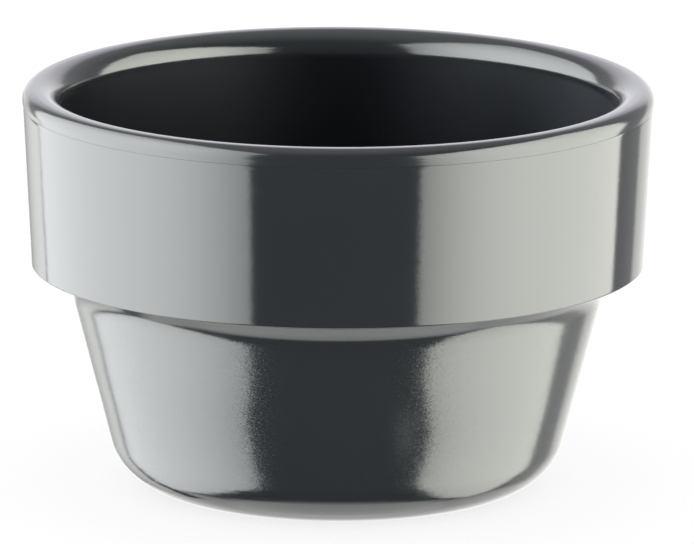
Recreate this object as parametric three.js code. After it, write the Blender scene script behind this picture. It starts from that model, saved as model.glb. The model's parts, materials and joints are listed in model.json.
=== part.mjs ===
// A stacking sauce dish, pressed from melamine in two shots.
// The first shot is the outer body, from the foot ring up to the fine seam below the rim.
// The second shot is the lining: it covers the inside and wraps over the rim down to that seam.
// Millimetres, +Z up, with the origin at the middle of the foot.

import * as THREE from "three";

// Outside
const RIM_DIAMETER = 80; // widest point, where the rim starts to round over
const HEIGHT = 51.2; // table to the crown of the rim
const SHOULDER_HEIGHT = 27.8; // table to the underside of the upper band
const BASE_DIAMETER = 54.6; // lower wall carried down to the table, without its rounding
const BASE_ROUND = 8.5; // large rounding between the lower wall and the foot
const BAND_DRAFT = 3; // degrees that the upper band opens towards the rim
const BAND_ROUND = 2; // lower edge of the band
const NECK_FILLET = 2.85; // hollow under the shoulder

// Rim
const RIM_OUTER_ROUND = 1.55;
const RIM_INNER_ROUND = 3; // broad rounding into the mouth
const SEAM_DROP = 2.25; // crown down to the seam between the two shots

// Wall and inside
const WALL = 4.8; // both shots together, the same all round
const LINING = 1.25; // second shot alone
const BOND_GAP = 0.1; // clearance left along the bond between the shots
const FLOOR_FILLET = 6; // floor into the lower wall
const LEDGE_ROUND = 3.2; // lower wall over onto the inner ledge
const LEDGE_FILLET = 1; // inner ledge into the upper wall
const STACK_CLEARANCE = 0.6; // neck of one dish inside the mouth of the dish below, each side

// Foot
const FOOT_RECESS = 1; // hollow under the base
const FOOT_WIDTH = 3; // flat ring that stands on the table
const FOOT_EDGE = 0.4; // rounding of the ring's inner edge

// Smoothness of the facets
const TURN_STEPS = 60; // facets in one full turn
const ARC_STEP = THREE.MathUtils.degToRad(18); // largest turn of one facet along a rounding

const bandDraft = THREE.MathUtils.degToRad(BAND_DRAFT);
const mouthRadius = upperInside(HEIGHT - RIM_INNER_ROUND, 0);
const neckRadius = mouthRadius - STACK_CLEARANCE;
const lowerDraft = Math.atan((neckRadius - BASE_DIAMETER / 2) / SHOULDER_HEIGHT);
const seamHeight = HEIGHT - SEAM_DROP;
const floorHeight = FOOT_RECESS + WALL;
const ledgeHeight = SHOULDER_HEIGHT + WALL;

/** Outside radius of the upper band at a height. */
function bandRadius(height) {
  const roundStart = HEIGHT - RIM_OUTER_ROUND;
  return RIM_DIAMETER / 2 - (roundStart - height) * Math.tan(bandDraft);
}

/** Outside radius of the lower wall at a height. */
function lowerRadius(height) {
  return BASE_DIAMETER / 2 + height * Math.tan(lowerDraft);
}

/** Radius of the upper inside wall at a height, moved into the wall by a depth. */
function upperInside(height, depth) {
  return bandRadius(height) - (WALL - depth) / Math.cos(bandDraft);
}

/** One corner of a section: its radius from the axis, its height and the rounding it gets. */
function corner(radius, height, rounding = 0) {
  return { point: new THREE.Vector2(radius, height), rounding };
}

/** Corners of the inside of the dish from the axis up to the ledge, moved into the wall by a depth. */
function insideCorners(depth) {
  const floor = floorHeight - depth;
  const ledge = ledgeHeight - depth;
  const lowerInset = (WALL - depth) / Math.cos(lowerDraft);
  return [
    corner(0, floor),
    corner(lowerRadius(floor) - lowerInset, floor, FLOOR_FILLET + depth),
    corner(lowerRadius(ledge) - lowerInset, ledge, LEDGE_ROUND - depth),
    corner(upperInside(ledge, depth), ledge, LEDGE_FILLET + depth),
  ];
}

/** Replaces each rounded corner by an arc, made smaller where the straight runs leave no room for it. */
function roundCorners(corners) {
  const along = (i, j) => corners[j].point.clone().sub(corners[i].point);
  const halfAngle = (i) => along(i, i - 1).angleTo(along(i, i + 1)) / 2;
  const reach = corners.map(({ rounding }, i) => (rounding > 0 ? rounding / Math.tan(halfAngle(i)) : 0));
  const room = (i, j) => Math.min(1, along(i, j).length() / (reach[i] + reach[j]));
  return corners.flatMap(({ point, rounding }, i) => {
    if (rounding <= 0) {
      return [point];
    }
    const radius = rounding * Math.min(room(i, i - 1), room(i, i + 1));
    const before = along(i, i - 1).normalize();
    const after = along(i, i + 1).normalize();
    const half = halfAngle(i);
    const centre = before.clone().add(after).setLength(radius / Math.sin(half)).add(point);
    const start = before.clone().setLength(radius / Math.tan(half)).add(point);
    const turn = (Math.PI - 2 * half) * Math.sign(after.cross(before));
    const steps = Math.ceil(Math.abs(turn) / ARC_STEP);
    const stepAlong = (_, k) => start.clone().rotateAround(centre, (turn * k) / steps);
    return Array.from({ length: steps + 1 }, stepAlong);
  });
}

/** Turns a section about +Z. It runs from the axis along the underside, up, over and back to the axis. */
function turned(name, corners, material) {
  const geometry = new THREE.LatheGeometry(roundCorners(corners), TURN_STEPS);
  geometry.rotateX(Math.PI / 2);
  const mesh = new THREE.Mesh(geometry, material);
  mesh.name = name;
  return mesh;
}

/** First shot: foot ring, lower wall, stacking shoulder and upper band. */
function outerBody() {
  const footOuter = BASE_DIAMETER / 2 - BASE_ROUND * Math.tan(Math.PI / 4 - lowerDraft / 2);
  const footInner = footOuter - FOOT_WIDTH;
  const lined = LINING + BOND_GAP;
  const section = [
    corner(0, FOOT_RECESS),
    corner(footInner - FOOT_RECESS, FOOT_RECESS, FOOT_EDGE),
    corner(footInner, 0, FOOT_EDGE),
    corner(BASE_DIAMETER / 2, 0, BASE_ROUND),
    corner(neckRadius, SHOULDER_HEIGHT, NECK_FILLET),
    corner(bandRadius(SHOULDER_HEIGHT), SHOULDER_HEIGHT, BAND_ROUND),
    corner(bandRadius(seamHeight), seamHeight),
    corner(upperInside(seamHeight, lined), seamHeight),
    ...insideCorners(lined).reverse(),
  ];
  const gloss = new THREE.MeshStandardMaterial({ color: 0x2d3235, roughness: 0.2, metalness: 0 });
  return turned("outer_body", section, gloss);
}

/** Second shot: floor, inside walls with their ledge, and the rim over the top of the first shot. */
function innerLining() {
  const capHeight = seamHeight + BOND_GAP;
  const section = [
    ...insideCorners(LINING),
    corner(upperInside(capHeight, LINING), capHeight),
    corner(bandRadius(capHeight), capHeight),
    corner(bandRadius(HEIGHT), HEIGHT, RIM_OUTER_ROUND),
    corner(upperInside(HEIGHT, 0), HEIGHT, RIM_INNER_ROUND),
    ...insideCorners(0).reverse(),
  ];
  const satin = new THREE.MeshStandardMaterial({ color: 0x25292b, roughness: 0.4, metalness: 0 });
  return turned("inner_lining", section, satin);
}

const dish = new THREE.Group();
dish.name = "sauce_dish";
dish.add(outerBody(), innerLining());

export default dish;
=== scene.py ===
# %% [markdown]
# # A stacking sauce dish in dark gloss melamine
#
# The dish is pressed in two shots. The outer body has the foot, the tapered lower wall, the shoulder that a
# dish rests on in a stack, and the upper band. The lining covers the inside and wraps over the rim down to a
# fine seam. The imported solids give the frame: where each piece is and how large it is. They are made of flat
# facets, and a gloss surface shows every facet as a break in its reflections, so this script turns both
# pieces again as smooth surfaces. The rounding of the base, the shoulder and the neck below it follow the
# photograph a little more closely here than in the solids, by less than a millimetre.

# %% Load the frame
import json
import math

import bpy
import numpy as np
from mathutils import Euler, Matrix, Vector

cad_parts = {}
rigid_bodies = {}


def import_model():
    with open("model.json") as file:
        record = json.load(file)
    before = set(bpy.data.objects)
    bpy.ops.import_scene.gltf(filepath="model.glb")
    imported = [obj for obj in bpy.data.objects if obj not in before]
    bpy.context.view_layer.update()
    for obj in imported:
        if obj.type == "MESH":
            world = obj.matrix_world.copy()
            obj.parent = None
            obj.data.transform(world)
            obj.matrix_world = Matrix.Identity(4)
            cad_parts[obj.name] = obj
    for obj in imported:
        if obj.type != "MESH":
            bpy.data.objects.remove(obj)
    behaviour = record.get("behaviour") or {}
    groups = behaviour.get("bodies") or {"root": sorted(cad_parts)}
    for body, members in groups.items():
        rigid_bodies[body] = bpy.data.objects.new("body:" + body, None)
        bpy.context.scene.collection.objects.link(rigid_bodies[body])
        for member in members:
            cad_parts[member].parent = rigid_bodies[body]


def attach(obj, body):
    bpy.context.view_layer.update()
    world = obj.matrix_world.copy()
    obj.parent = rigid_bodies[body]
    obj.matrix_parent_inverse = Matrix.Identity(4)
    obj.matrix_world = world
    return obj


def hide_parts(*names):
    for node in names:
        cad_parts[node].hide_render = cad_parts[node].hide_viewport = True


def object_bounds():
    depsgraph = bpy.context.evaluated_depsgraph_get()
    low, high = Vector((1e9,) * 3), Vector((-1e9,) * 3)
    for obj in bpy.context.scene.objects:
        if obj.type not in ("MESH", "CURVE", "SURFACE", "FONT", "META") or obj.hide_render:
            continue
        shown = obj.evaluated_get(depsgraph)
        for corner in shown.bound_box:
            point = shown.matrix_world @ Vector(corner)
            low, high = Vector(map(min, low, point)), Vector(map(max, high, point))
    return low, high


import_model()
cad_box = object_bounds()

MM = 0.001
box_low, box_high = (np.array(corner) / MM for corner in cad_box)
HEIGHT = box_high[2] - box_low[2]
RIM_RADIUS = (box_high[0] - box_low[0]) / 2
print(f"frame: {2 * RIM_RADIUS:.2f} mm across the rim, {HEIGHT:.2f} mm high")

# %% [markdown]
# ## The section
#
# Both pieces are bodies of revolution, so one section drawn on the radius and height plane says everything
# about them. A section is a short list of corners, each with the rounding that it gets. Drawing the arcs by
# hand would hide the sizes that matter, so the corners stay sharp here and a helper rounds them afterwards.
# All sizes are in millimetres.

# %% Sizes of the section
SHOULDER_HEIGHT = 27.8
SHOULDER_RISE = 0.7
BASE_RADIUS = 27.3
BASE_ROUND = 7.7
BAND_DRAFT = math.radians(3)
BAND_ROUND = 0.3
NECK_HOLLOW = 2.1
NECK_SLOPE = math.radians(40)
NECK_FILLET = 6.0
NECK_TOP = 0.6
RIM_OUTER_ROUND = 1.55
RIM_INNER_ROUND = 3.0
SEAM_DROP = 2.25
WALL = 4.8
LINING = 1.25
BOND_GAP = 0.1
SEAM_GAP = 0.01
FLOOR_FILLET = 6.0
LEDGE_ROUND = 3.2
LEDGE_FILLET = 1.0
STACK_CLEARANCE = 0.6
FOOT_RECESS = 1.0
FOOT_WIDTH = 3.0
FOOT_EDGE = 0.4
EASE = 0.02

rim_foot_height = HEIGHT - RIM_INNER_ROUND
seam_height = HEIGHT - SEAM_DROP
ledge_height = SHOULDER_HEIGHT + WALL
floor_height = FOOT_RECESS + WALL


def band_radius(height):
    """Outside of the band: a line that leans out by the draft and meets the rim where it rounds over."""
    return RIM_RADIUS - (HEIGHT - RIM_OUTER_ROUND - height) * math.tan(BAND_DRAFT)


def upper_inside(height, depth):
    """Inside of the upper wall: the band moved in by the wall, then back into the wall by a depth."""
    return band_radius(height) - (WALL - depth) / math.cos(BAND_DRAFT)


mouth_radius = upper_inside(rim_foot_height, 0)
neck_radius = mouth_radius - STACK_CLEARANCE
lower_draft = math.atan((neck_radius - BASE_RADIUS) / SHOULDER_HEIGHT)
print(f"mouth {2 * mouth_radius:.1f} mm, neck {2 * neck_radius:.1f} mm across")
print(f"lower wall: {math.degrees(lower_draft):.1f} degrees of draft")


def lower_outside(height):
    """Outside of the lower wall: a straight taper from the base to the neck."""
    return BASE_RADIUS + height * math.tan(lower_draft)


def lower_inside(height, depth):
    """Inside of the lower wall: the taper moved in by the wall, then back into the wall by a depth."""
    return lower_outside(height) - (WALL - depth) / math.cos(lower_draft)


def inside_corners(depth):
    """Corners of the hollow from the axis up to the ledge, moved into the wall by a depth."""
    floor, ledge = floor_height - depth, ledge_height - depth
    return [
        (0, floor, 0),
        (lower_inside(floor, depth), floor, FLOOR_FILLET + depth),
        (lower_inside(ledge, depth), ledge, LEDGE_ROUND - depth),
        (upper_inside(ledge, depth), ledge, LEDGE_FILLET + depth),
    ]


# %% Corners of the two pieces
foot_outer = BASE_RADIUS - BASE_ROUND * math.tan(math.pi / 4 - lower_draft / 2)
foot_inner = foot_outer - FOOT_WIDTH
hollow_foot = SHOULDER_HEIGHT - NECK_HOLLOW
hollow_foot_radius = lower_outside(hollow_foot)
hollow_top_radius = hollow_foot_radius + NECK_HOLLOW * math.tan(NECK_SLOPE)
band_foot = SHOULDER_HEIGHT + SHOULDER_RISE
lined = LINING + BOND_GAP
body_corners = [
    (0, FOOT_RECESS, 0),
    (foot_inner - FOOT_RECESS, FOOT_RECESS, FOOT_EDGE),
    (foot_inner, 0, FOOT_EDGE),
    (BASE_RADIUS, 0, BASE_ROUND),
    (hollow_foot_radius, hollow_foot, NECK_FILLET),
    (hollow_top_radius, SHOULDER_HEIGHT, NECK_TOP),
    (band_radius(band_foot), band_foot, BAND_ROUND),
    (band_radius(seam_height), seam_height, EASE),
    (upper_inside(seam_height, lined), seam_height, EASE),
    *inside_corners(lined)[::-1],
]
cap_height = seam_height + SEAM_GAP
lining_corners = [
    *inside_corners(LINING),
    (upper_inside(cap_height, LINING), cap_height, EASE),
    (band_radius(cap_height), cap_height, EASE),
    (band_radius(HEIGHT), HEIGHT, RIM_OUTER_ROUND),
    (upper_inside(HEIGHT, 0), HEIGHT, RIM_INNER_ROUND),
    *inside_corners(0)[::-1],
]
print(f"outer body: {len(body_corners)} corners, lining: {len(lining_corners)} corners")

# %% [markdown]
# ## From corners to a smooth surface
#
# A rounding is the arc that touches both straight runs of its corner. A Bevel modifier could round the
# edges of a turned mesh too, but the faces beside each arc would differ in size, and the gloss would show
# it. So all corners are worked out at once as arrays: the arc's reach along each run, its centre on the
# bisector, and a fan of points between the two touching directions. Straight runs then get points at an
# even step, because evenly sized faces keep the shading normals true beside an arc. Turning the section is
# a grid of two parameters: how far along the section, and how far around the axis.

# %% Round the corners of a section
ARC_POINTS = 21
TINY_ARC = 0.2
TINY_STRIDE = 5
RUN_STEP = 0.7
LEAST_STEP = 1e-3
SAME_PLACE = 1e-6


def unit(vectors):
    """Each vector divided by its own length, and left at nought where it has none."""
    length = np.linalg.norm(vectors, axis=-1, keepdims=True)
    return vectors / np.where(length > 0, length, 1)


def rounded_section(corners):
    """Points along a section. An arc of radius q in a corner with half angle a touches both runs q / tan(a)
    from the corner, and its centre lies q / sin(a) along the bisector. Where two arcs want more than a run
    has, both shrink. A tiny arc keeps only one point in each stride."""
    table = np.array(corners, float)
    point, radius = table[:, :2], table[:, 2]
    before = np.vstack([point[:1], point[:-1]]) - point
    after = np.vstack([point[1:], point[-1:]]) - point
    to_before, to_after = unit(before), unit(after)
    half = np.arccos(np.clip((to_before * to_after).sum(1), -1, 1)) / 2
    reach = np.where(radius > 0, radius / np.tan(half), 0)
    run = np.linalg.norm(after, axis=1)[:-1]
    share = np.minimum(1, run / np.maximum(reach[:-1] + reach[1:], SAME_PLACE))
    radius = radius * np.minimum(np.append(share, 1), np.insert(share, 0, 1))
    centre = point + unit(to_before + to_after) * (radius / np.sin(half))[:, None]
    start = point + to_before * (radius / np.tan(half))[:, None] - centre
    end = point + to_after * (radius / np.tan(half))[:, None] - centre
    turn = np.arctan2(start[:, 0] * end[:, 1] - start[:, 1] * end[:, 0], (start * end).sum(1))
    angle = (turn[:, None] * np.linspace(0, 1, ARC_POINTS))[..., None]
    across = start[:, ::-1] * (-1, 1)
    fan = centre[:, None] + start[:, None] * np.cos(angle) + across[:, None] * np.sin(angle)
    kept = (radius[:, None] >= TINY_ARC) | (np.arange(ARC_POINTS) % TINY_STRIDE == 0)
    line = fan[kept]
    gap = np.linalg.norm(np.diff(line, axis=0), axis=1)
    return line[np.insert(gap > SAME_PLACE, 0, True)]


def resampled(line):
    """The same line with its own points kept and one more at every run step, and the distance along it."""
    along = np.insert(np.cumsum(np.linalg.norm(np.diff(line, axis=0), axis=1)), 0, 0)
    fine = np.unique(np.concatenate([along, np.arange(0, along[-1], RUN_STEP)]))
    fine = fine[np.insert(np.diff(fine) > LEAST_STEP, 0, True)]
    return np.stack([np.interp(fine, along, line[:, 0]), np.interp(fine, along, line[:, 1])], 1), fine


print(f"outer body: {len(rounded_section(body_corners))} points round its corners")
print(f"lining: {len(rounded_section(lining_corners))} points round its corners")

# %% Turn a section into a piece
AROUND = 216
SECTION_MAP = "section"


def turned_piece(name, corners):
    """A surface of revolution: grid point (i, j) is the section's point i, turned from the back by
    2 pi j / AROUND. The first and last points lie on the axis, so they are one vertex each and their rings
    close as fans. The UV map holds millimetres: u around the rim, and v along the section."""
    line, along = resampled(rounded_section(corners))
    ring = line[1:-1]
    count = len(ring)
    angle = np.arange(AROUND) * 2 * np.pi / AROUND
    x = -ring[:, :1] * np.sin(angle)
    y = ring[:, :1] * np.cos(angle)
    z = np.broadcast_to(ring[:, 1:], x.shape)
    poles = np.array([[0, 0, line[0, 1]], [0, 0, line[-1, 1]]])
    vertices = np.concatenate([np.stack([x, y, z], -1).reshape(-1, 3), poles]) * MM

    row, column = np.meshgrid(np.arange(count - 1), np.arange(AROUND), indexing="ij")
    here = row * AROUND + column
    beside = row * AROUND + (column + 1) % AROUND
    quads = np.stack([here, beside, beside + AROUND, here + AROUND], -1).reshape(-1, 4)
    first, second = np.arange(AROUND), (np.arange(AROUND) + 1) % AROUND
    low_pole = np.full(AROUND, count * AROUND)
    low_fan = np.stack([low_pole, second, first], -1)
    top_row = (count - 1) * AROUND
    high_fan = np.stack([low_pole + 1, top_row + first, top_row + second], -1)

    quad_u = np.stack([column, column + 1, column + 1, column], -1).reshape(-1)
    quad_v = along[1:-1][np.stack([row, row, row + 1, row + 1], -1).reshape(-1)]
    low_u = np.stack([first + 0.5, first + 1, first], -1).ravel()
    high_u = np.stack([first + 0.5, first, first + 1], -1).ravel()
    low_v = np.tile(along[[0, 1, 1]], AROUND)
    high_v = np.tile(along[[-1, -2, -2]], AROUND)
    u = np.concatenate([quad_u, low_u, high_u]) * 2 * np.pi * RIM_RADIUS / AROUND
    v = np.concatenate([quad_v, low_v, high_v])

    mesh = bpy.data.meshes.new(name)
    mesh.from_pydata(vertices, [], quads.tolist() + low_fan.tolist() + high_fan.tolist())
    mesh.uv_layers.new(name=SECTION_MAP)
    mesh.uv_layers[SECTION_MAP].data.foreach_set("uv", np.stack([u, v], -1).ravel())
    mesh.shade_smooth()
    piece = bpy.data.objects.new(name, mesh)
    bpy.context.scene.collection.objects.link(piece)
    print(f"{name}: {len(vertices)} vertices, section {along[-1]:.1f} mm long")
    return piece


# %% [markdown]
# ## The two shots
#
# Each piece stands for one solid, so it hides that node and rides on the dish's only body. A Screw modifier
# could turn the sections as well. The grid is used because it closes the poles and gives a UV map in
# millimetres, which the streaks of the finishes follow.

# %% Outer body and lining
body = turned_piece("body_smooth", body_corners)
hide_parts("outer_body")
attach(body, "root")

lining = turned_piece("lining_smooth", lining_corners)
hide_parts("inner_lining")
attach(lining, "root")

# %% [markdown]
# ## Writing shader maths as Python
#
# A node graph is a formula, and a formula is easier to read as one. This class holds one output socket.
# Adding or multiplying such sockets adds Math nodes, and one method adds every other kind of node.


# %% The socket class
class Wire:
    """An output socket of a node tree that can be used in Python arithmetic."""

    def __init__(self, tree, socket=None):
        self.tree = tree
        self.socket = socket

    def node(self, kind, settings=None, sockets=None, out=0):
        """Adds a node of a kind, applies its settings, fills its sockets and returns one of its outputs."""
        made = self.tree.nodes.new(kind)
        for name, value in (settings or {}).items():
            setattr(made, name, value)
        for name, value in (sockets or {}).items():
            if isinstance(value, Wire):
                self.tree.links.new(value.socket, made.inputs[name])
            else:
                made.inputs[name].default_value = value
        return Wire(self.tree, made.outputs[out] if made.outputs else None)

    def math(self, operation, first, second):
        """One Math node on two values or sockets."""
        return self.node("ShaderNodeMath", {"operation": operation}, {0: first, 1: second})

    def __add__(self, other):
        return self.math("ADD", self, other)

    def __radd__(self, other):
        return self.math("ADD", other, self)

    def __sub__(self, other):
        return self.math("SUBTRACT", self, other)

    def __rsub__(self, other):
        return self.math("SUBTRACT", other, self)

    def __mul__(self, other):
        return self.math("MULTIPLY", self, other)

    def __rmul__(self, other):
        return self.math("MULTIPLY", other, self)

    def __truediv__(self, other):
        return self.math("DIVIDE", self, other)

    def __rtruediv__(self, other):
        return self.math("DIVIDE", other, self)

    def vector(self, operation, other=(0, 0, 0), out=0):
        """One Vector Math node on this vector and another."""
        return self.node("ShaderNodeVectorMath", {"operation": operation}, {0: self, 1: other}, out)

    def times(self, vector):
        """A vector or a colour times this number."""
        return self.node("ShaderNodeVectorMath", {"operation": "SCALE"}, {0: vector, "Scale": self})

    def axis(self, name):
        """One axis of this vector: X, Y or Z."""
        return self.node("ShaderNodeSeparateXYZ", None, {0: self}, out=name)

    def step(self, low, high):
        """A smooth step: nought below the low value, one above the high value."""
        sockets = {"Value": self, "From Min": low, "From Max": high}
        return self.node("ShaderNodeMapRange", {"interpolation_type": "SMOOTHSTEP"}, sockets)

    def between(self, first, second):
        """The first number where this is nought, the second where it is one, and a mix of both between."""
        return self * (second - first) + first

    def noise(self, scale, detail, roughness=0.5):
        """Noise over this vector, about one half on average."""
        sockets = {"Vector": self, "Scale": scale, "Detail": detail, "Roughness": roughness}
        return self.node("ShaderNodeTexNoise", None, sockets)


def new_material(name):
    """A material with an empty node tree, and that tree as a wire to add the first nodes with."""
    material = bpy.data.materials.new(name)
    material.use_nodes = True
    tree = material.node_tree
    tree.nodes.clear()
    return material, Wire(tree)


def finish_surface(shader):
    """Links a shader to a new output node of its tree."""
    shader.node("ShaderNodeOutputMaterial", None, {"Surface": shader})


# %% [markdown]
# ## Gloss melamine
#
# Pressed melamine comes out of a polished steel mould with a hard gloss, and its colour is the same right
# through. One even colour and one roughness would look like a flat computer grey: what tells the real thing
# from it is small. The mould was polished round the axis, and the dish copies its hairs. Each one leans the
# surface sideways by a degree or two, so the edge of a reflection is feathered, as on brushed metal. Bump
# alone would lean it up and down too, so the lean is worked out as a vector. The surface also has a slight
# orange peel, and use leaves a few hairlines and duller patches, which are bump and roughness.

# %% Places on the surface and noise in streaks
MIDDLE = 0.5
PEAK_EDGE = 0.04


def surface_places(wire):
    """The point in millimetres, its height, and the unrolled surface in millimetres."""
    point = wire.node("ShaderNodeTexCoord", out="Object").vector("MULTIPLY", (1 / MM, 1 / MM, 1 / MM))
    unrolled = wire.node("ShaderNodeUVMap", {"uv_map": SECTION_MAP})
    return point, point.axis("Z"), unrolled


def streaks(point, unrolled, length, spacing):
    """Noise in streaks that changes over a length round the dish and over a spacing along the section."""
    flat = point.vector("MULTIPLY", (1 / length, 1 / length, 0))
    rise = unrolled.node("ShaderNodeCombineXYZ", None, {"Z": unrolled.axis("Y") / spacing})
    return flat.vector("ADD", rise).noise(scale=1, detail=2, roughness=0.6)


def hairlines(unrolled, tilt, length, spacing, amount):
    """Short scratches: stretched noise on the unrolled surface, turned by a tilt, kept only at its peaks."""
    turned = unrolled.node("ShaderNodeMapping", None, {
        "Vector": unrolled,
        "Rotation": (0, 0, math.radians(tilt)),
        "Scale": (1 / length, 1 / spacing, 1),
    })
    peak = 1 - amount
    return turned.noise(scale=1, detail=1, roughness=0.4).step(peak, peak + PEAK_EDGE)


def soft_spot(point, place, size):
    """One at a place and nought outside an ellipsoid: one less a smooth step of distance over size."""
    away = point.vector("SUBTRACT", place).vector("DIVIDE", size)
    return 1 - away.vector("LENGTH", out="Value").step(0, 1)


# %% Lean, colour and gloss
GLOSS_IOR = 1.62
RELIEF_UNIT = 0.0015
WHITE = (1, 1, 1, 1)


def combed_normal(lean):
    """The normal leaned sideways: the unit vector along normal + tangent * lean, where the tangent is the
    upward direction crossed with the normal, so it runs level round the dish."""
    normal = lean.node("ShaderNodeNewGeometry", out="Normal")
    sockets = {0: (0, 0, 1), 1: normal}
    tangent = lean.node("ShaderNodeVectorMath", {"operation": "CROSS_PRODUCT"}, sockets)
    return normal.vector("ADD", lean.times(tangent)).vector("NORMALIZE")


def blend(factor, first, second):
    """A colour between two colours. Inputs 6 and 7 and output 2 of a Mix node are the ones for colour."""
    sockets = {"Factor": factor, 6: (*first, 1), 7: (*second, 1)}
    return factor.node("ShaderNodeMix", {"data_type": "RGBA"}, sockets, out=2)


def gloss(colour, roughness, relief, normal, ior=GLOSS_IOR, tint=WHITE):
    """Melamine: a Principled surface whose relief, counted in relief units, bends a normal."""
    sockets = {"Distance": RELIEF_UNIT * MM, "Height": relief, "Normal": normal}
    bumped = relief.node("ShaderNodeBump", None, sockets)
    return relief.node("ShaderNodeBsdfPrincipled", None, {
        "Base Color": colour,
        "Roughness": roughness,
        "IOR": ior,
        "Specular Tint": tint,
        "Normal": bumped,
    })


# %% How the outer body leans
# Streaks have a length and a spacing. A lean has a value on the lower wall and one on the band.
HAIRS = (0.2, 0.03)
HAIR_LEAN = (0.2, 0.07)
HAIR_TAIL = (9, 0)
COMBING = (1.2, 0.12)
COMBING_LEAN = (0.03, 0.02)
SWAY = (60, 9)
SWAY_LEAN = (0.04, 0.01)
BOW_LOW, BOW_MIDDLE, BOW_HIGH = 4, 12, 22
BOW_LEAN = 0.08


def body_lean(point, height, unrolled, band):
    """Sideways lean of the outer body, as the sum of four. Hairs lean by s * (lean + tail * s^2), where s is
    noise about nought, so that a few of them lean far. Combing and sway are longer streaks. The bow is
    x * y^3 / r^4 on a strip of the lower wall, where the edges of its reflections part at half height."""
    hair = streaks(point, unrolled, *HAIRS) - MIDDLE
    hairs = hair * (band.between(*HAIR_LEAN) + hair * hair * band.between(*HAIR_TAIL))
    combing = (streaks(point, unrolled, *COMBING) - MIDDLE) * band.between(*COMBING_LEAN)
    sway = (streaks(point, unrolled, *SWAY) - MIDDLE) * band.between(*SWAY_LEAN)
    x, y = point.axis("X") / BASE_RADIUS, point.axis("Y") / BASE_RADIUS
    strip = height.step(BOW_LOW, BOW_MIDDLE) * (1 - height.step(BOW_MIDDLE, BOW_HIGH))
    bow = x * y * y * y * strip * BOW_LEAN
    return hairs + combing + sway + bow


# %% Finish of the outer body
BODY_COLOUR = (0.029, 0.0345, 0.0375)
BODY_PALE = (0.034, 0.040, 0.0436)
PALE_SHARE = (0.5, 0)
BAND_FADE = 1
FOOT_LOW, FOOT_HIGH = 0.02, 0.5
BODY_CLOUD = 0.06
PEEL = 1.1
MARKS = (9, 0.35)
MARK_RELIEF = 0.5
BODY_SCRATCHES = (4, 6, 0.12, 0.28)
BODY_SLANTING = (-11, 5, 0.12, 0.27)
SCRATCH_RELIEF = 0.5
SCRATCH_ROUGHNESS = 0.03
SCUFF_PLACE = (8.2, -29.5, 13)
SCUFF_SIZE = (3, 30, 7)
SCUFF_ROUGHNESS = 0.15
BODY_ROUGHNESS = (0.1, 0.09)
CLOUD_ROUGHNESS = 0.03
FOOT_ROUGHNESS = 0.3


def body_finish():
    """Dark slate gloss, a little paler and more combed on the lower wall than on the band, with one rubbed
    spot and a scuffed foot ring."""
    material, wire = new_material("body_gloss_melamine")
    point, height, unrolled = surface_places(wire)
    band = height.step(SHOULDER_HEIGHT - BAND_FADE, SHOULDER_HEIGHT + BAND_FADE)
    foot = 1 - height.step(FOOT_LOW, FOOT_HIGH)
    cloud = point.noise(scale=BODY_CLOUD, detail=3)
    peel = point.noise(scale=PEEL, detail=2)
    marks = streaks(point, unrolled, *MARKS)
    scratch = hairlines(unrolled, *BODY_SCRATCHES) + hairlines(unrolled, *BODY_SLANTING)
    scuff = soft_spot(point, SCUFF_PLACE, SCUFF_SIZE)
    colour = blend(cloud + band.between(*PALE_SHARE), BODY_COLOUR, BODY_PALE)
    wear = (cloud - MIDDLE) * CLOUD_ROUGHNESS + scratch * SCRATCH_ROUGHNESS
    roughness = band.between(*BODY_ROUGHNESS) + wear + scuff * SCUFF_ROUGHNESS + foot * FOOT_ROUGHNESS
    relief = marks * MARK_RELIEF + peel + scratch * SCRATCH_RELIEF
    normal = combed_normal(body_lean(point, height, unrolled, band))
    finish_surface(gloss(colour, roughness, relief, normal))
    return material


body.data.materials.append(body_finish())
print("outer body:", body.data.materials[0].name)

# %% [markdown]
# ## The lining
#
# The lining has two finishes. The rim is buffed after pressing, so it is as glossy as the body but carries
# the buffing wheel's long streaks. Below the rim's rounding the mould was left satin. There the colour is
# painted very dark as painted shade, for the little light that reaches down into the bowl. It has a little
# dust and a painted light patch that makes one side lighter. The two could be two pieces, but the real surface
# runs on from one to the other, so one material mixes both by height.

# %% Finish of the lining
# Painted shade: the inside is coloured far darker than the rim, for the shade that falls down in the bowl.
SATIN_PAINTED_SHADE_COLOUR = (0.0028, 0.0036, 0.0046)
SATIN_TINT = (0.84, 0.88, 1.0, 1)
SATIN_IOR = 1.33
SATIN_ROUGHNESS = 0.4
SATIN_WEAR = 2
RIM_COLOUR = (0.031, 0.0365, 0.040, 1)
RIM_ROUGHNESS = 0.13
RIM_FADE = 0.5
LINING_CLOUD = 0.07
LINING_WEAR = 0.06
BUFFING = (6, 0.1)
BUFFING_LEAN = 0.07
BUFFING_RELIEF = 0.6
GRAIN = 2.5
GRAIN_RELIEF = 1.5
LINING_SCRATCHES = (3, 8, 0.15, 0.28)
LINING_SLANTING = (-8, 6, 0.15, 0.27)
DUST = 3.2
DUST_LOW, DUST_HIGH = 0.68, 0.8
DUST_SHARE = 0.25
# Painted light: a paler patch on one inner side stands in for the light that falls there, and the dust takes
# the same colour.
DUST_AND_PAINTED_LIGHT_COLOUR = (0.038, 0.043, 0.050)
PAINTED_LIGHT_PLACE = (32, 14, 44)
PAINTED_LIGHT_SIZE = (16, 22, 16)
PAINTED_LIGHT_SHARE = (0.4, 1.6)


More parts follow.
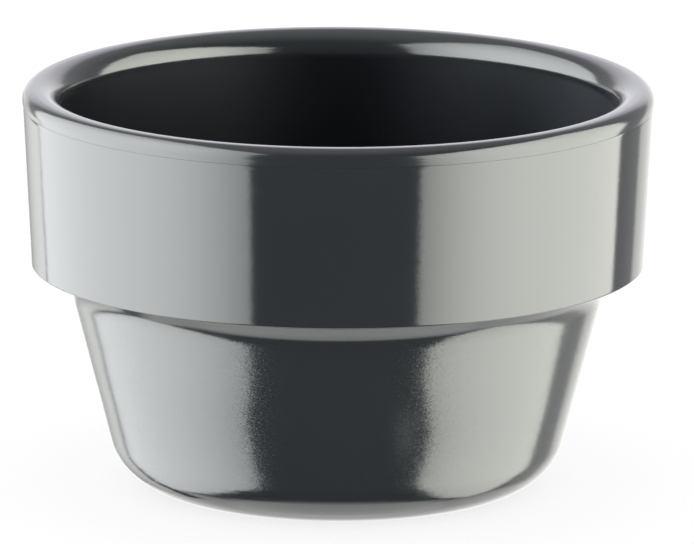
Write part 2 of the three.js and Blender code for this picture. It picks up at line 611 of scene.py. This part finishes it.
def lining_finish():
    """Buffed gloss on the rim and satin inside, divided at the foot of the rim's inner rounding."""
    material, wire = new_material("lining_melamine")
    point, height, unrolled = surface_places(wire)
    rim = height.step(rim_foot_height - RIM_FADE, rim_foot_height + RIM_FADE)
    buffing = streaks(point, unrolled, *BUFFING)
    grain = point.noise(scale=GRAIN, detail=2)
    cloud = point.noise(scale=LINING_CLOUD, detail=3)
    scratch = hairlines(unrolled, *LINING_SCRATCHES) + hairlines(unrolled, *LINING_SLANTING)
    normal = combed_normal((buffing - MIDDLE) * BUFFING_LEAN)
    wear = (cloud - MIDDLE) * LINING_WEAR + scratch * SCRATCH_ROUGHNESS
    relief = buffing * BUFFING_RELIEF + scratch * SCRATCH_RELIEF
    dust = point.noise(scale=DUST, detail=1).step(DUST_LOW, DUST_HIGH)
    # Painted light patch: one inner side is coloured paler for the light that falls there.
    painted_light_patch = soft_spot(point, PAINTED_LIGHT_PLACE, PAINTED_LIGHT_SIZE) * cloud.between(*PAINTED_LIGHT_SHARE)
    # Painted shade of the very dark inside, with real dust and the painted light patch mixed in.
    painted_inside_colour = blend(dust * DUST_SHARE + painted_light_patch, SATIN_PAINTED_SHADE_COLOUR, DUST_AND_PAINTED_LIGHT_COLOUR)
    dulled = wear * SATIN_WEAR + SATIN_ROUGHNESS
    satin = gloss(painted_inside_colour, dulled, relief + grain * GRAIN_RELIEF, normal, SATIN_IOR, SATIN_TINT)
    buffed = gloss(RIM_COLOUR, wear + RIM_ROUGHNESS, relief, normal)
    finish_surface(rim.node("ShaderNodeMixShader", None, {0: rim, 1: satin, 2: buffed}))
    return material


lining.data.materials.append(lining_finish())
print("lining:", lining.data.materials[0].name)

# %% [markdown]
# ## Studio
#
# A dark gloss dish shows its surroundings more than its own colour, so they are built from what it reflects.
# Two flat softbox walls stand left and right, so close that their straight edges bend over the round sides,
# and a low one runs on behind the left. They are real planes, because a wall that is near looks different
# from each point of the dish. What is farther off is only a direction in the world: a white sweep and a
# cooler window behind, white card and table below, a grey corner at the right and a faint ceiling, with the
# camera side left dark. Only reflections see all this. The camera and the diffuse light see plain white of
# strength one, at which a colour renders about as it is written.

# %% Softbox walls
WALLS = {
    "left_wall": {
        "x": -371, "y": (-610, 420), "z": (-520, 800), "cut": (0.694, 0.72, -591),
        "centre": (-100, 150), "light": (7.75, 7.98, 8.0),
    },
    "low_wall": {
        "x": -370, "y": (406, 1600), "z": (-700, -70), "cut": (1, 0.27, 387),
        "centre": (-100, 150), "light": (7.1, 7.2, 7.0),
    },
    "right_wall": {
        "x": 303, "y": (-538, 190), "z": (-490, 400), "cut": (0.546, 0.838, -446),
        "centre": (-125, 100), "light": (7.97, 8.08, 7.44),
    },
}
WALL_EDGE = 12
FALL_ALONG = 0.68
FALL_UP = 0.25


def wall_material(name, wall):
    """Light that is strongest at a centre and falls off as one over one plus a squared and b squared, each
    times its fall, where a and b are the distances along and up from the centre over the wall's distance.
    It fades at the edges, and there is none where the two shares of along and up stay under the cut."""
    material, wire = new_material(name)
    place = wire.node("ShaderNodeTexCoord", out="Object").vector("MULTIPLY", (1 / MM, 1 / MM, 1 / MM))
    along, up = place.axis("Y"), place.axis("Z")
    centre_along, centre_up = wall["centre"]
    a = (along - centre_along) / abs(wall["x"])
    b = (up - centre_up) / abs(wall["x"])
    level = 1 / (a * a * FALL_ALONG + b * b * FALL_UP + 1)
    for ruler, (low, high) in ((along, wall["y"]), (up, wall["z"])):
        level = level * ruler.step(low, low + WALL_EDGE) * (1 - ruler.step(high - WALL_EDGE, high))
    along_share, up_share, limit = wall["cut"]
    level = level * (along * along_share + up * up_share).step(limit, limit + WALL_EDGE)
    glow = level.times(wall["light"])
    finish_surface(wire.node("ShaderNodeEmission", None, {"Color": glow, "Strength": 1.0}))
    material.cycles.emission_sampling = "NONE"
    return material


for name, wall in WALLS.items():
    (front, rear), (low, high) = wall["y"], wall["z"]
    outline = np.array([[front, low], [rear, low], [rear, high], [front, high]])
    upright = np.insert(outline, 0, wall["x"], axis=1) * MM
    wall_mesh = bpy.data.meshes.new(name)
    wall_mesh.from_pydata(upright, [], [(0, 1, 2, 3)])
    wall_mesh.materials.append(wall_material(name, wall))
    screen = bpy.data.objects.new(name, wall_mesh)
    bpy.context.scene.collection.objects.link(screen)
    screen.visible_camera = False
    screen.visible_diffuse = False
    screen.visible_transmission = False
    screen.visible_shadow = False
    print(f"{name}: {rear - front} mm long, {abs(wall['x'])} mm away")

# %% Sweep, card, corner and ceiling by direction
PATCHES = {
    "sweep": {"azimuth": 180, "elevation": -14, "radius": 33, "edge": 2, "light": (1.5, 1.5, 1.44)},
    "window": {"azimuth": 180, "elevation": 14, "radius": 24, "edge": 10, "light": (1.46, 1.42, 1.58)},
    "card": {"azimuth": 180, "elevation": -79, "radius": 26, "edge": 4, "light": (1.92, 1.94, 1.89)},
    "table": {"azimuth": 180, "elevation": -55, "radius": 32, "edge": 5, "light": (1.5, 1.5, 1.46)},
    "corner": {"azimuth": 138, "elevation": -32, "radius": 9, "edge": 9, "light": (0.86, 0.88, 0.84)},
    "ceiling": {"azimuth": 202, "elevation": 62, "radius": 32, "edge": 38, "light": (0.57, 0.57, 0.57)},
}
DIM_FRONT, DIM_BACK = 0.03, 0.6
DIM_START, DIM_END = -0.3, 1.0


def direction(azimuth, elevation):
    """Unit vector for an azimuth counted from the camera side, positive to the right, and an elevation."""
    a, e = math.radians(azimuth), math.radians(elevation)
    return (math.sin(a) * math.cos(e), -math.cos(a) * math.cos(e), math.sin(e))


def patch_light(ray, patch):
    """A round patch: a smooth step of the cosine between the ray and the patch, times the patch's light."""
    facing = ray.vector("DOT_PRODUCT", direction(patch["azimuth"], patch["elevation"]), out="Value")
    outer = math.cos(math.radians(patch["radius"] + patch["edge"]))
    inner = math.cos(math.radians(max(0, patch["radius"] - patch["edge"])))
    return facing.step(outer, inner).times(patch["light"])


world = bpy.data.worlds.new("studio")
bpy.context.scene.world = world
world.cycles.sampling_method = "NONE"
world.use_nodes = True
world.node_tree.nodes.clear()
sky = Wire(world.node_tree)
ray = sky.node("ShaderNodeTexCoord", out="Generated")
light = ray.axis("Y").step(DIM_START, DIM_END).between(DIM_FRONT, DIM_BACK).times((1, 1, 1))
for patch in PATCHES.values():
    light = light.vector("MAXIMUM", patch_light(ray, patch))
reflected = sky.node("ShaderNodeLightPath", out="Is Glossy Ray")
studio = sky.node("ShaderNodeBackground", None, {"Color": light, "Strength": 1.0})
white = sky.node("ShaderNodeBackground", None, {"Color": WHITE, "Strength": 1.0})
backdrop = sky.node("ShaderNodeMixShader", None, {0: reflected, 1: white, 2: studio})
sky.node("ShaderNodeOutputWorld", None, {"Surface": backdrop})
print(f"studio: {len(WALLS)} walls and {len(PATCHES)} patches of light")

# %% [markdown]
# ## Floor
#
# The dish stands on a white floor that shows little but a faint shadow round the base. A plain diffuse floor
# would come out pale grey, with a shadow darker than the photograph's. So the camera sees only a share of
# it, raised to white by a glow, and the shadow stays as a faint one. From below the floor is clear.

# %% Floor
FLOOR_HALF = 4000
FLOOR_DROP = 0.03
FLOOR_COLOUR = 0.9
SHADOW_SHARE = 0.25
FLOOR_LIFT = 0.8

ground_height = box_low[2] - FLOOR_DROP
square = np.array([[-1, -1, 0], [1, -1, 0], [1, 1, 0], [-1, 1, 0]]) * FLOOR_HALF
floor_mesh = bpy.data.meshes.new("floor")
floor_mesh.from_pydata((square + (0, 0, ground_height)) * MM, [], [(0, 1, 2, 3)])
floor = bpy.data.objects.new("floor", floor_mesh)
bpy.context.scene.collection.objects.link(floor)
floor.visible_glossy = False
floor_material, ground = new_material("pale_floor")
seen = ground.node("ShaderNodeLightPath", out="Is Camera Ray")
matt = ground.node("ShaderNodeBsdfDiffuse", None, {"Color": seen.between(FLOOR_COLOUR, SHADOW_SHARE)})
raised = ground.node("ShaderNodeEmission", None, {"Color": seen * FLOOR_LIFT, "Strength": 1.0})
top_side = ground.node("ShaderNodeAddShader", None, {0: matt, 1: raised})
clear = ground.node("ShaderNodeBsdfTransparent")
under = ground.node("ShaderNodeNewGeometry", out="Backfacing")
finish_surface(ground.node("ShaderNodeMixShader", None, {0: under, 1: top_side, 2: clear}))
floor_material.cycles.emission_sampling = "NONE"
floor_mesh.materials.append(floor_material)
print("floor at", round(ground_height, 3), "mm")

# %% [markdown]
# ## Camera
#
# The photograph is a long-lens picture from a little above the rim. Its outline gives the elevation, the
# distance and the focal length, and its frame puts the axis of the dish slightly left of the middle. The
# camera is moved aside for that, because a lens shift would stay on in every other view.

# %% Camera
IMAGE_WIDTH = 694
AXIS_PIXEL = 337.4
FOCAL_PIXELS = 10162
SENSOR_WIDTH = 36
ELEVATION = math.radians(12.54)
DISTANCE = 1290
TARGET_HEIGHT = 27.08
ROLL = math.radians(0.25)

aside = (IMAGE_WIDTH / 2 - AXIS_PIXEL) * DISTANCE / FOCAL_PIXELS
lens = bpy.data.cameras.new("camera")
lens.sensor_width = SENSOR_WIDTH
lens.lens = FOCAL_PIXELS * SENSOR_WIDTH / IMAGE_WIDTH
camera = bpy.data.objects.new("camera", lens)
bpy.context.scene.collection.objects.link(camera)
back = Vector((0, -math.cos(ELEVATION), math.sin(ELEVATION)))
camera.location = (Vector((aside, 0, TARGET_HEIGHT)) + back * DISTANCE) * MM
camera.rotation_euler = Euler((math.pi / 2 - ELEVATION, 0, 0))
camera.rotation_euler.rotate_axis("Z", ROLL)
bpy.context.scene.camera = camera
bpy.context.scene.view_settings.view_transform = "Standard"
print(f"camera: {lens.lens:.0f} mm lens, {DISTANCE} mm away")
